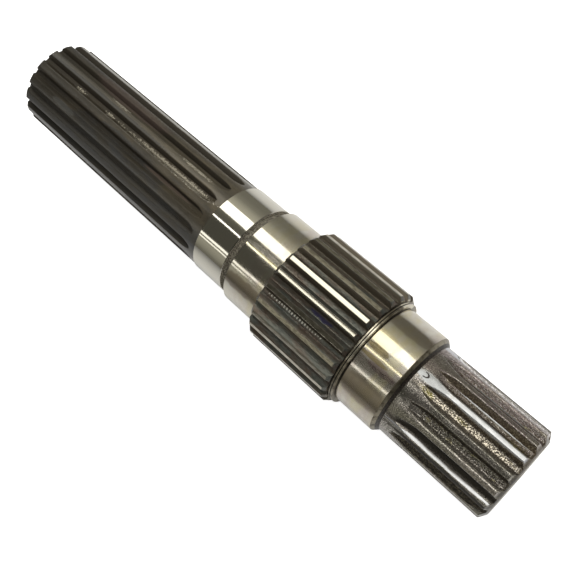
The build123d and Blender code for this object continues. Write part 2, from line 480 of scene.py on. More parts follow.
def node(tree, kind, inputs, mode=None, **settings):
    """Adds a node, sets it, fills its inputs with values, colours or sockets, gives its outputs.

    The mode is what such a node is mostly set to: how it reckons, what it mixes, how softly
    it changes.
    """
    made = tree.nodes.new("ShaderNode" + kind)
    if mode:
        setattr(made, MODES[kind], mode)
    for name, value in settings.items():
        setattr(made, name, value)
    for name, value in inputs.items():
        if isinstance(value, bpy.types.NodeSocket):
            tree.links.new(value, made.inputs[name])
        else:
            made.inputs[name].default_value = linear(value) if isinstance(value, str) else value
    return made.outputs


def new_tree(name):
    """A new material, with its node tree emptied."""
    material = bpy.data.materials.new(name)
    material.use_nodes = True
    material.node_tree.nodes.clear()
    return material, material.node_tree


def layered(tree, colour, layers):
    """A colour with others laid over it in order, each with its share."""
    for share, over in layers:
        colour = node(tree, "Mix", {0: share, 6: colour, 7: over}, "RGBA")[2]
    return colour


def finished(material, surface):
    """Sends a surface to the material's output, and prints how many nodes the material has."""
    node(material.node_tree, "OutputMaterial", {"Surface": surface})
    print(f"{material.name} has {len(material.node_tree.nodes)} nodes")
    return material


print(f"mid grey #808080 is {linear('#808080')[0]:.3f} in linear light")

# %% [markdown]
# ## Where on the shaft
#
# Marks of use lie at places: so far along, so far round. Both come from the object's own
# coordinates, so a mark stays on the metal from every side. An unwrapped map would do as
# well, but it has a seam, and this has none. A mark is an oval patch whose edge is made
# ragged by a noise, because wear and stains never end in a clean curve.

# %% Places on the shaft


def shaft_places(tree):
    """The point in metres, its station in mm, and its turn in degrees from the top towards -Y."""
    place = node(tree, "TexCoord", {})["Object"]
    x, y, z = node(tree, "SeparateXYZ", {0: place})
    station = node(tree, "Math", {0: x, 1: 1 / MM, 2: LENGTH / 2}, "MULTIPLY_ADD")[0]
    side = node(tree, "Math", {0: y, 1: -1.0}, "MULTIPLY")[0]
    up = node(tree, "Math", {0: z, 1: -AXIS_HEIGHT * MM}, "ADD")[0]
    turn = node(tree, "Math", {0: side, 1: up}, "ARCTAN2")[0]
    return place, station, node(tree, "Math", {0: turn}, "DEGREES")[0]


def worn_patch(tree, station, turn, centre, half_size, ragged, rag=0.8):
    """A patch with a ragged edge: 1 where (ds / a)^2 + (dt / b)^2 + rag * (noise - 0.5) is below 1."""
    squares = []
    for value, middle, half in zip((station, turn), centre, half_size):
        share = node(tree, "Math", {0: value, 1: -middle}, "ADD")[0]
        share = node(tree, "Math", {0: share, 1: 1 / half}, "MULTIPLY")[0]
        squares.append(node(tree, "Math", {0: share, 1: share}, "MULTIPLY")[0])
    total = node(tree, "Math", {0: squares[0], 1: squares[1]}, "ADD")[0]
    rough_edge = node(tree, "Math", {0: ragged, 1: rag * 2, 2: -rag}, "MULTIPLY_ADD")[0]
    total = node(tree, "Math", {0: total, 1: rough_edge}, "ADD")[0]
    window = {"Value": total, "From Min": 1.15, "From Max": 0.55}
    return node(tree, "MapRange", window, "SMOOTHSTEP")[0]


def widest(tree, station, turn, patches, ragged, rag):
    """Several patches in one: the greatest of them at each point."""
    most = 0.0
    for centre, half_size in patches:
        spot = worn_patch(tree, station, turn, centre, half_size, ragged, rag)
        most = node(tree, "Math", {0: most, 1: spot}, "MAXIMUM")[0]
    return most


def stained(tree, station, turn, colour, stains, ragged, rag):
    """A colour with stains laid over it, each with its own colour, greatest share and place."""
    layers = []
    for stain, most, centre, half_size in stains:
        spot = worn_patch(tree, station, turn, centre, half_size, ragged, rag)
        layers.append((node(tree, "Math", {0: spot, 1: most}, "MULTIPLY")[0], stain))
    return layered(tree, colour, layers)


print(f"one degree is {math.radians(JOURNAL_R):.2f} mm round a journal")

# %% [markdown]
# ## Ground steel
#
# The journals were ground round between centres with a fine wheel: grey steel with a
# near-mirror skin and faint lines round it. So the strip lamps show in them as bands with
# almost straight edges. Oil varnish and handling have stained the front journal yellow and
# grey, and it has lost some gloss. The rear one is cleaner and the outer one is the brightest.
#
# One roughness for all would blur the bands' edges evenly, like satin. Ground steel instead
# keeps a sharp image under a faint veil, so a fine noise mixes smooth and rough points. Each
# stain that can be seen has its own patch, and between them a cloudy noise tints the metal.
# Three pale patches lie under the lamps' bands on the journals: a painted tint of those
# reflections.

# %% Ground journals
HAZE_SIZE = 0.07  # mm, too fine to see apart, so it reads as a veil over the mirror
WAVE_SIZE = 2.5  # the lazy waves that a grinding wheel leaves
LINE_SIZE = 0.2  # the wheel's lines, drawn several times coarser than they are, so that they show
STAIN_SIZE = 3.5
STAINS_AND_BAND_TINTS = [
    ("#85796b", 0.75, (66, -46), (16, 15)),
    ("#85796b", 0.75, (135, -48), (16, 10)),
    ("#85796b", 0.5, (67, 34), (14, 9)),
    ("#a3928e", 0.8, (64, -17), (8, 4)),
    # The next three pale patches lie under the lamps' bands: a painted tint of those reflections.
    ("#cbc2a4", 1.0, (66, -7.4), (14, 2.0)),
    ("#cbc2a4", 1.0, (135, -7.4), (14, 2.0)),
    ("#cbc2a4", 1.0, (72, 8.5), (8, 9)),
    ("#9a8b62", 0.8, (71, -2.6), (6, 3.8)),
    ("#9a8b62", 0.8, (70, -12.0), (8, 2.4)),
]
RUBBED_DULL = [
    ((66, -3.6), (13, 3.4)),
    ((135, -3.6), (12, 3.0)),
    ((66, -19), (14, 10)),
    ((60.5, -2), (5, 4)),
    ((66, -12.5), (13, 4.5)),
]
FRONT_STAINED, OUTER_CLEAN = 120, 156  # stations between which the stains grow faint


def ground_steel():
    """Cylindrically ground alloy steel. Low roughness keeps the lamps' edges, haze lifts the darks."""
    material, tree = new_tree("ground_alloy_steel")
    place, station, turn = shaft_places(tree)
    # The front journal is stained most, the rear one less, the outer one hardly.
    window = {"Value": station, "From Min": FRONT_STAINED, "From Max": OUTER_CLEAN}
    window |= {"To Min": 1, "To Max": 0.08}
    wear = node(tree, "MapRange", window, "SMOOTHSTEP")[0]
    round_it = node(tree, "Mapping", {"Vector": place, "Scale": (1, 0.4, 0.4)})[0]
    cloud = node(tree, "TexNoise", {"Vector": round_it, "Scale": 1 / (STAIN_SIZE * MM), "Detail": 4})[0]
    tint_in = {"Vector": round_it, "Scale": 1 / (STAIN_SIZE * 2 * MM), "Detail": 2}
    tint = node(tree, "TexNoise", tint_in)[0]
    filmed = node(tree, "MapRange", {"Value": cloud, "From Min": 0.30, "From Max": 0.62}, "SMOOTHSTEP")[0]
    tinted = node(tree, "MapRange", {"Value": tint, "From Min": 0.42, "From Max": 0.6})[0]
    varnish = node(tree, "Mix", {0: tinted, 6: "#bbb2a9", 7: "#c3bca4"}, "RGBA")[2]
    share = node(tree, "Math", {0: filmed, 1: wear}, "MULTIPLY")[0]
    colour = layered(tree, "#cac7bd", [(wear, "#c8c4b9"), (share, varnish)])
    colour = stained(tree, station, turn, colour, STAINS_AND_BAND_TINTS, cloud, 0.6)
    haze = node(tree, "TexNoise", {"Vector": place, "Scale": 1 / (HAZE_SIZE * MM), "Detail": 1})[0]
    hazy = node(tree, "MapRange", {"Value": haze, "From Min": 0.40, "From Max": 0.58})[0]
    veil = node(tree, "Math", {0: filmed, 1: 0.3, 2: 0.25}, "MULTIPLY_ADD")[0]
    veil = node(tree, "Math", {0: veil, 1: wear}, "MULTIPLY")[0]
    dull = node(tree, "Math", {0: hazy, 1: veil}, "MULTIPLY")[0]
    rough = node(tree, "Math", {0: dull, 1: 0.36, 2: 0.07}, "MULTIPLY_ADD")[0]
    for centre, half_size in RUBBED_DULL:
        spot = worn_patch(tree, station, turn, centre, half_size, cloud, rag=0.6)
        rough = node(tree, "Math", {0: spot, 1: 0.10, 2: rough}, "MULTIPLY_ADD")[0]
    waves = node(tree, "TexNoise", {"Vector": round_it, "Scale": 1 / (WAVE_SIZE * MM), "Detail": 3})[0]
    relief = node(tree, "Bump", {"Height": waves, "Strength": 1.0, "Distance": 0.012 * MM})[0]
    rings = node(tree, "Mapping", {"Vector": place, "Scale": (1, 0.05, 0.05)})[0]
    lines = node(tree, "TexNoise", {"Vector": rings, "Scale": 1 / (LINE_SIZE * MM), "Detail": 2})[0]
    lines_in = {"Height": lines, "Strength": 1.0, "Distance": 0.0015 * MM, "Normal": relief}
    relief = node(tree, "Bump", lines_in)[0]
    steel = {"Base Color": colour, "Metallic": 1.0, "Roughness": rough, "Normal": relief}
    return finished(material, node(tree, "BsdfPrincipled", steel)[0])


ground = ground_steel()

# %% [markdown]
# ## Turned steel
#
# Shoulders, end faces and centre holes were left as the lathe made them: duller than the
# journals, with the tool's feed lines, about a third of a millimetre apart. The lines could
# be cut into the mesh, but they are too fine to have an outline, so a sine wave on the bump
# does it: it runs along the shaft on the steps, and outwards on the flat faces. Grime sits on
# the collar and the shoulders. The collar is paler and smoother where it faces the lamps and
# the table: partly a real wipe, partly painted light.

# %% Turned faces
FEED = 0.35  # mm, at the coarse end of a finishing cut, so that it shows
GRIME_SIZE = 2.5
COLLAR_WIPED_AND_LIT = [((77, -6), (4, 22)), ((77, 60), (4, 14))]


def turned_steel(name, dirt):
    """Turned steel: fine steps round it scatter a lamp along the shaft, so it gleams broadly."""
    material, tree = new_tree(name)
    place, station, turn = shaft_places(tree)
    x, y, z = node(tree, "SeparateXYZ", {0: place})
    up = node(tree, "Math", {0: z, 1: -AXIS_HEIGHT * MM}, "ADD")[0]
    across = node(tree, "CombineXYZ", {0: y, 1: up})[0]
    radius_here = node(tree, "VectorMath", {0: across}, "LENGTH")["Value"]
    travel = node(tree, "Math", {0: x, 1: radius_here}, "ADD")[0]
    phase = node(tree, "Math", {0: travel, 1: 2 * math.pi / (FEED * MM)}, "MULTIPLY")[0]
    steps = node(tree, "Math", {0: phase}, "SINE")[0]
    grime = node(tree, "TexNoise", {"Vector": place, "Scale": 1 / (GRIME_SIZE * MM), "Detail": 4})[0]
    dirty = node(tree, "MapRange", {"Value": grime, "From Min": 0.45, "From Max": 0.7, "To Max": dirt})[0]
    # Painted light: paler, smoother steel where the collar faces the lamps and the table, with some real
    # wipe.
    wiped_and_lit = widest(tree, station, turn, COLLAR_WIPED_AND_LIT, grime, 0.8)
    colour = layered(tree, "#8f8878", [(dirty, "#4f4739"), (wiped_and_lit, "#cfc8b6")])
    rough = node(tree, "MapRange", {"Value": wiped_and_lit, "To Min": 0.32, "To Max": 0.27})[0]
    relief = node(tree, "Bump", {"Height": steps, "Strength": 1.0, "Distance": 0.008 * MM})[0]
    steel = {"Base Color": colour, "Metallic": 1.0, "Roughness": rough, "Normal": relief}
    return finished(material, node(tree, "BsdfPrincipled", steel)[0])


turned = turned_steel("turned_steel", 1.0)
faced = turned_steel("faced_steel", 0.3)

# %% [markdown]
# ## The short spline
#
# Its teeth carry the drive: the hub has polished their lands and flanks to plain grey
# steel, while the spaces between them are pitted, fretted and oily. The two sides of a tooth
# differ: the driving side is bright, and the coast side is painted dark, partly a black skin
# and partly painted shade on the flanks that face away from the lamps.
#
# A single worn steel with noise would make all teeth alike. Here the depth below the tips
# tells floors from lands, the coast attribute tells the sides of a tooth apart, and patches
# give the few teeth that shine, the dusty ones and the spots of old oil their places. Each
# patch below has its centre and its half size, as (mm from the short end, degrees round).

# %% Marks on the short spline
# Painted light and shade: the dark coat is left off on the lamps' side and is darkest on the far side.
WIPED_AND_LIT_SIDE = ((25, 75), (60, 42))
DEEP_SKIN_AND_SHADE = ((24, -68.5), (30, 10))
FRETTED = ((26, -2.2), (27, 4.4))
SCUFFED = ((48, 9.5), (9, 7.5))
POLISHED_RIM = ((25, 66), (60, 11))
HOOK_PLACE = (51.3, 9.9)
HOOK_OUTSIDE, HOOK_INSIDE = (2.5, 3.4), (1.9, 2.5)
OILED = [((24, -47.1), (30, 6.2)), ((24, -58.4), (30, 3.2))]
OILY = [((28.5, -2.0), (3.4, 3.0)), ((45, -2.0), (3.2, 3.0)), ((8, 16.5), (6, 3.4))]
DUSTY = [((26, -59.2), (32, 4.2)), ((24, 45), (34, 8.5)), ((24, -20), (30, 3.5))]
BRIGHT = [
    ((27, -53.0), (33, 1.5)),
    ((18, 9.4), (24, 4.4)),
    ((46, 9.0), (10, 5.5)),
    ((25, 64), (60, 7.5)),
    ((21, 23.4), (19, 1.2)),
    ((21, 45.9), (19, 1.2)),
]


def coast_skin_and_shade(tree, station, turn, coast, below, fretted, patches):
    """Paints the coast sides dark, partly a black skin and partly painted shade, lighter on the lamps' side
    and darkest on the far side.
    """
    # Painted light and shade: no dark coat on the lamps' side, the darkest on the far side.
    wiped_and_lit = worn_patch(tree, station, turn, *WIPED_AND_LIT_SIDE, patches, rag=0.3)
    deep = worn_patch(tree, station, turn, *DEEP_SKIN_AND_SHADE, patches, rag=0.5)
    skin_and_shade = node(tree, "Math", {0: coast, 1: wiped_and_lit}, "SUBTRACT")[0]
    skin_and_shade = node(tree, "Math", {0: skin_and_shade, 1: deep}, "MAXIMUM")[0]
    skin_and_shade = node(tree, "Math", {0: skin_and_shade, 1: below}, "MULTIPLY")[0]
    skin_and_shade = node(tree, "Math", {0: skin_and_shade, 1: fretted}, "SUBTRACT")[0]
    skin_and_shade = node(tree, "Math", {0: patches, 1: skin_and_shade}, "ADD")[0]
    return node(tree, "MapRange", {"Value": skin_and_shade, "From Min": 0.68, "From Max": 0.95}, "SMOOTHSTEP")[0]


def hooked_scratch(tree, station, turn, patches):
    """A hooked scratch in the neck: the near half of a small oval ring."""
    outside = worn_patch(tree, station, turn, HOOK_PLACE, HOOK_OUTSIDE, patches, rag=0)
    inside = worn_patch(tree, station, turn, HOOK_PLACE, HOOK_INSIDE, patches, rag=0)
    hook = node(tree, "Math", {0: outside, 1: inside}, "SUBTRACT")[0]
    near = node(tree, "MapRange", {"Value": station, "From Min": 51.5, "From Max": 51.1})[0]
    hook = node(tree, "Math", {0: hook, 1: near}, "MULTIPLY")[0]
    return node(tree, "MapRange", {"Value": hook, "From Max": 0.5})[0]


print(f"{len(BRIGHT)} bright, {len(DUSTY)} dusty and {len(OILED + OILY)} oily stretches lie on its teeth")

# %% [markdown]
# ## Pits and worn flanks
#
# Fretting leaves pits, most of them on the floors, and the hub has worn the flanks a little
# steeper. Both could be cut into the mesh, but a pit is a few tenths of a millimetre wide, so
# two bumps do it: one from a fine noise, and one from the depth itself, which tilts the flanks.

# %% Relief of worn teeth
PIT_DEPTH = 0.4
FLANK_WEAR = 0.15  # mm of height for each mm of depth


def worn_relief(tree, depth_here, below, low, rim, bright, pits):
    """Relief that is deepest on the floors, less on the flanks, and hardly there where it shines."""
    flank = node(tree, "Math", {0: below, 1: 0.3, 2: 0.12}, "MULTIPLY_ADD")[0]
    share = node(tree, "Math", {0: low, 1: 0.2, 2: flank}, "MULTIPLY_ADD")[0]
    smooth = node(tree, "Math", {0: rim, 1: 0.6}, "MULTIPLY")[0]
    smooth = node(tree, "Math", {0: smooth, 1: bright}, "MAXIMUM")[0]
    smooth = node(tree, "MapRange", {"Value": smooth, "To Min": 1.0, "To Max": 0.06})[0]
    share = node(tree, "Math", {0: share, 1: smooth}, "MULTIPLY")[0]
    height = node(tree, "Math", {0: pits, 1: share}, "MULTIPLY")[0]
    relief = node(tree, "Bump", {"Height": height, "Strength": 1.0, "Distance": PIT_DEPTH * MM})[0]
    worn_in = {"Height": depth_here, "Strength": 1.0, "Distance": FLANK_WEAR * MM, "Normal": relief}
    return node(tree, "Bump", worn_in, invert=True)[0]


tilt = math.atan(FLANK_WEAR * math.cos(PRESSURE_ANGLE))
print(f"wear tilts the flanks by {math.degrees(tilt):.0f} degrees")

# %% [markdown]
# ## Worn teeth
#
# The colours are laid over each other: plain steel, dust, a cast that is rosier on the
# lamps' side of the shaft and more olive on the other, the specks of wear, what the hub
# polished, and old oil on top. Then the dark coat covers what the hub didn't reach: partly a
# black skin, partly painted shade, lighter on the lamps' side. Painting the teeth by hand
# would allow more, but patches and noises are sharp from any distance and need no picture.

# %% Worn teeth
PIT_SIZE = 0.55
GRIT_SIZE = 0.45
SCUFF_SIZE = 1.3
OIL_SIZE = 3.0
CAST_SIZE = 5.0


def worn_spline():
    """Hobbed steel worn by its hub: lands fairly smooth, floors pitted, the coast side dark with skin and
    painted shade.
    """
    material, tree = new_tree("worn_spline_steel")
    place, station, turn = shaft_places(tree)
    depth_here = node(tree, "Attribute", {}, attribute_name="depth")["Fac"]
    coast = node(tree, "Attribute", {}, attribute_name="coast")["Fac"]
    low = node(tree, "MapRange", {"Value": depth_here, "From Min": 1.7, "From Max": 2.1}, "SMOOTHSTEP")[0]
    below = node(tree, "MapRange", {"Value": depth_here, "From Min": 0.2, "From Max": 0.5})[0]
    along = node(tree, "Mapping", {"Vector": place, "Scale": (0.4, 1, 1)})[0]
    pits = node(tree, "TexNoise", {"Vector": place, "Scale": 1 / (PIT_SIZE * MM), "Detail": 3})[0]
    patches = node(tree, "TexNoise", {"Vector": along, "Scale": 1 / (SCUFF_SIZE * MM), "Detail": 5})[0]
    olive = node(tree, "TexNoise", {"Vector": along, "Scale": 1 / (OIL_SIZE * MM), "Detail": 3})[0]
    cast = node(tree, "TexNoise", {"Vector": along, "Scale": 1 / (CAST_SIZE * MM), "Detail": 1})[0]
    grit = node(tree, "TexNoise", {"Vector": place, "Scale": 1 / (GRIT_SIZE * MM), "Detail": 2})[0]
    bright = widest(tree, station, turn, BRIGHT, patches, 0.4)
    dusty = widest(tree, station, turn, DUSTY, patches, 1.2)
    oiled = widest(tree, station, turn, OILED, patches, 0.3)
    fretted = worn_patch(tree, station, turn, *FRETTED, pits, rag=0.8)
    rim = worn_patch(tree, station, turn, *POLISHED_RIM, patches, rag=0.3)
    # Pits are deep on the floors and slight elsewhere.
    pitted = node(tree, "MapRange", {"Value": pits, "From Min": 0.57, "From Max": 0.46}, "SMOOTHSTEP")[0]
    share = node(tree, "MapRange", {"Value": low, "To Min": 0.55, "To Max": 1.0})[0]
    pitted = node(tree, "Math", {0: pitted, 1: share}, "MULTIPLY")[0]
    skin_and_shade = coast_skin_and_shade(tree, station, turn, coast, below, fretted, patches)
    end_ring = node(tree, "MapRange", {"Value": station, "From Min": 2.0, "From Max": 1.2}, "SMOOTHSTEP")[0]
    plain = node(tree, "Math", {0: 1.0, 1: bright}, "SUBTRACT")[0]
    dark = node(tree, "Math", {0: pitted, 1: skin_and_shade}, "MAXIMUM")[0]
    dark = node(tree, "Math", {0: dark, 1: plain}, "MULTIPLY")[0]
    dark = node(tree, "Math", {0: dark, 1: end_ring}, "MAXIMUM")[0]
    tinted = node(tree, "MapRange", {"Value": olive, "From Min": 0.60, "From Max": 0.70})[0]
    tinted = node(tree, "Math", {0: tinted, 1: low}, "MULTIPLY")[0]
    spots = widest(tree, station, turn, OILY, pits, 4.5)
    tinted = node(tree, "Math", {0: tinted, 1: spots}, "MAXIMUM")[0]
    rosy = node(tree, "MapRange", {"Value": cast, "From Min": 0.38, "From Max": 0.55, "To Max": 0.6})[0]
    # Painted light: the lamps' side of the shaft gets a rosier cast and a lighter dark coat.
    lamp_side = node(tree, "MapRange", {"Value": turn, "From Min": -12, "From Max": 14})[0]
    side = node(tree, "Mix", {0: lamp_side, 6: "#838376", 7: "#94868a"}, "RGBA")[2]
    specks = node(tree, "MapRange", {"Value": grit, "From Min": 0.53, "From Max": 0.62, "To Max": 0.85})[0]
    scuffed = worn_patch(tree, station, turn, *SCUFFED, patches, rag=1.6)
    scuffed = node(tree, "Math", {0: scuffed, 1: 0.7}, "MULTIPLY")[0]
    cold = node(tree, "Math", {0: rim, 1: 0.7}, "MULTIPLY")[0]
    steel_layers = [
        (patches, "#b5b0aa"),
        (dusty, "#655e55"),
        (rosy, side),
        (specks, "#d3cec8"),
        (fretted, "#e4dac9"),
        (bright, "#abacaf"),
        (scuffed, "#7f8182"),
        (cold, "#c2c2c8"),
        (tinted, "#a89f5e"),
    ]
    bare = layered(tree, "#7f7872", steel_layers)
    speckled = node(tree, "Math", {0: specks, 1: 0.6}, "MULTIPLY")[0]
    # The dark coat, skin and painted shade, is painted lighter on the lamps' side.
    black = layered(tree, "#35302a", [(lamp_side, "#4d4338"), (speckled, "#a0977f")])
    hook = hooked_scratch(tree, station, turn, patches)
    colour = layered(tree, bare, [(dark, black), (oiled, "#403d39"), (hook, "#2c2a28")])
    metallic = node(tree, "MapRange", {"Value": dark, "To Min": 1.0, "To Max": 0.6})[0]
    metallic = node(tree, "Math", {0: fretted, 1: -0.15, 2: metallic}, "MULTIPLY_ADD")[0]
    metallic = node(tree, "Math", {0: metallic, 1: oiled}, "MAXIMUM")[0]
    window = {"Value": patches, "From Min": 0.3, "From Max": 0.7, "To Min": 0.12, "To Max": 0.28}
    rough = node(tree, "MapRange", window)[0]
    rough = node(tree, "Math", {0: dusty, 1: 0.15, 2: rough}, "MULTIPLY_ADD")[0]
    rough = node(tree, "Math", {0: bright, 1: 0.06, 2: rough}, "MULTIPLY_ADD")[0]
    relief = worn_relief(tree, depth_here, below, low, rim, bright, pits)
    steel = {"Base Color": colour, "Metallic": metallic, "Roughness": rough, "Normal": relief}
    return finished(material, node(tree, "BsdfPrincipled", steel)[0])


worn = worn_spline()

# %% [markdown]
# ## The large spline
#
# Its lands were ground with the journals, so they shine in narrow bars. Its flanks and
# floors kept the brown skin of heat treatment, with oil in the corners and one blued spot.
# The coast flanks, which face away from the broad lamp, are a painted shade darker, and a
# row of pale beads along one floor is a painted glint of the side lamp on the hob's marks.
# Two materials with a seam between them could be put on lands and flanks. One that asks for
# the depth is simpler here, and it lets the ground skin end softly over the tooth's edge.

# %% Ground lands, brown spaces
STREAK_SIZE = 0.8
MOTTLE_SIZE = 0.5
TINT_SIZE = 3.5
DIMPLE_SIZE = 1.1
BEAD_PITCH = 1.5  # mm between the marks that the hob's feed left
GLINT_ROW = ((107, -29.2), (17, 1.3))
BLUED = [("#3d3a54", 1.0, (97, -14.3), (6, 2.6))]


def bead_glints(tree, station, turn, mottle, streaks):
    """A row of painted glints along one floor, one for each mark of the hob: pale colour where the side lamp
    catches the marks.
    """
    phase = node(tree, "Math", {0: station, 1: 2 * math.pi / BEAD_PITCH}, "MULTIPLY")[0]
    wave = node(tree, "Math", {0: phase}, "SINE")[0]
    # The glints' outlines wander with the mottling.
    wave = node(tree, "Math", {0: mottle, 1: 3.0, 2: wave}, "MULTIPLY_ADD")[0]
    row = worn_patch(tree, station, turn, *GLINT_ROW, streaks, rag=1.2)
    glints = node(tree, "MapRange", {"Value": wave, "From Min": 1.4, "From Max": 2.1})[0]
    return node(tree, "Math", {0: glints, 1: row}, "MULTIPLY")[0]


def large_spline_steel():
    """Ground lands between dark flanks: a mirror bar, then a semi-gloss skin."""
    material, tree = new_tree("heat_treated_spline_steel")
    place, station, turn = shaft_places(tree)
    depth_here = node(tree, "Attribute", {}, attribute_name="depth")["Fac"]
    coast = node(tree, "Attribute", {}, attribute_name="coast")["Fac"]
    below = node(tree, "MapRange", {"Value": depth_here, "From Min": 0.0, "From Max": 0.04}, "SMOOTHSTEP")[0]
    # The chamfers at both ends kept the skin too.
    middle = (LARGE_START + LARGE_END) / 2
    from_middle = node(tree, "Math", {0: station, 1: -middle}, "ADD")[0]
    from_middle = node(tree, "Math", {0: from_middle}, "ABSOLUTE")[0]
    half_lands = middle - LARGE_START - LARGE_CHAMFER
    window = {"Value": from_middle, "From Min": half_lands - 0.2, "From Max": half_lands + 0.1}
    chamfer = node(tree, "MapRange", window)[0]
    below = node(tree, "Math", {0: below, 1: chamfer}, "MAXIMUM")[0]
    low = node(tree, "MapRange", {"Value": depth_here, "From Min": 1.6, "From Max": 2.2}, "SMOOTHSTEP")[0]
    along = node(tree, "Mapping", {"Vector": place, "Scale": (0.3, 1, 1)})[0]
    streaks = node(tree, "TexNoise", {"Vector": along, "Scale": 1 / (STREAK_SIZE * MM), "Detail": 4})[0]
    mottle = node(tree, "TexNoise", {"Vector": place, "Scale": 1 / (MOTTLE_SIZE * MM), "Detail": 3})[0]
    tint = node(tree, "TexNoise", {"Vector": along, "Scale": 1 / (TINT_SIZE * MM), "Detail": 2})[0]
    cool = node(tree, "MapRange", {"Value": tint, "From Min": 0.42, "From Max": 0.58})[0]
    lighter = node(tree, "MapRange", {"Value": streaks, "From Min": 0.35, "From Max": 0.8, "To Max": 0.8})[0]
    skin_and_shade = layered(tree, "#4f4238", [(cool, "#474a45"), (lighter, "#6a6960")])
    skin_and_shade = stained(tree, station, turn, skin_and_shade, BLUED, streaks, 1.5)
    # Painted shade: the coast flanks, which face away from the broad lamp, take a darker brown.
    skin_and_shade = node(tree, "Mix", {0: coast, 6: skin_and_shade, 7: "#4b4438"}, "RGBA")[2]
    # Away from the top the lands are stained in streaks.
    aside = node(tree, "Math", {0: turn}, "ABSOLUTE")[0]
    aside = node(tree, "MapRange", {"Value": aside, "From Min": 13, "From Max": 18, "To Max": 0.7})[0]
    streaky = node(tree, "MapRange", {"Value": streaks, "From Min": 0.44, "From Max": 0.60})[0]
    streaky = node(tree, "Math", {0: streaky, 1: aside}, "MULTIPLY")[0]
    land = node(tree, "Mix", {0: streaky, 6: "#b9b4a6", 7: "#7f786b"}, "RGBA")[2]
    glints = bead_glints(tree, station, turn, mottle, streaks)
    # The pale beads are painted glints of the side lamp on the hob's marks.
    colour = layered(tree, land, [(below, skin_and_shade), (glints, "#c6c3b9")])
    metallic = node(tree, "MapRange", {"Value": below, "To Min": 1.0, "To Max": 0.6})[0]
    rough = node(tree, "MapRange", {"Value": below, "To Min": 0.12, "To Max": 0.34})[0]
    rough = node(tree, "Math", {0: low, 1: -0.1, 2: rough}, "MULTIPLY_ADD")[0]
    dimples = node(tree, "TexNoise", {"Vector": place, "Scale": 1 / (DIMPLE_SIZE * MM), "Detail": 1})[0]
    dimples = node(tree, "Math", {0: dimples, 1: low}, "MULTIPLY")[0]
    relief_share = node(tree, "MapRange", {"Value": below, "To Min": 0.03, "To Max": 1.0})[0]
    height = node(tree, "Math", {0: mottle, 1: relief_share}, "MULTIPLY")[0]
    relief = node(tree, "Bump", {"Height": dimples, "Strength": 1.0, "Distance": 0.1 * MM})[0]
    mottle_in = {"Height": height, "Strength": 1.0, "Distance": 0.06 * MM, "Normal": relief}
    relief = node(tree, "Bump", mottle_in)[0]
    steel = {"Base Color": colour, "Metallic": metallic, "Roughness": rough, "Normal": relief}
    return finished(material, node(tree, "BsdfPrincipled", steel)[0])


treated = large_spline_steel()

# %% [markdown]
# ## The long spline
#
# It kept its black oxide skin whole: a dark, dry semi-gloss with a warm cast. It is painted
# cooler and darker on the side away from the lamps, a painted reflection of the room there,
# and its coast flanks are painted dark as shade. A sliding hub has rubbed through it in
# streaks. A black paint would have no colour in its reflections, so the skin is half metal,
# with a thin coat of oil on the lands. The streaks are patches whose edge noise is so strong
# that they break up into specks, as rubbed-through skin does.

# %% Black oxide
CLOUD_SIZE = 4.0
CAST_LENGTH = 7.0
GRAIN_SIZE = 0.75
OILY_FAR = ((233, -30), (38, 25))
SOOTY = ((256, 12.0), (50, 4.0))
WIPED_SIDES = [((240, 62.5), (90, 6)), ((240, -84), (90, 7))]
RUBBED = [
    ((205, 1.8), (27, 2.9)),
    ((188, 1.2), (12, 3.6)),
    ((190, 20.6), (9, 2.6)),
    ((246, 20.6), (5, 2.0)),
    ((247, 2.0), (3, 2.4)),
    ((270, 2.0), (3, 2.4)),
]
SMEARED = [
    ("#6f695d", 0.7, (189, 1.4), (12, 3.2)),
    ("#6b6557", 0.6, (190, 20.6), (12, 3.2)),
    ("#6f6054", 0.6, (198, -17.5), (19, 2.4)),
    ("#584842", 0.4, (245, 34), (28, 9)),
    ("#5c5c58", 0.6, (272, -28), (9, 4)),
]


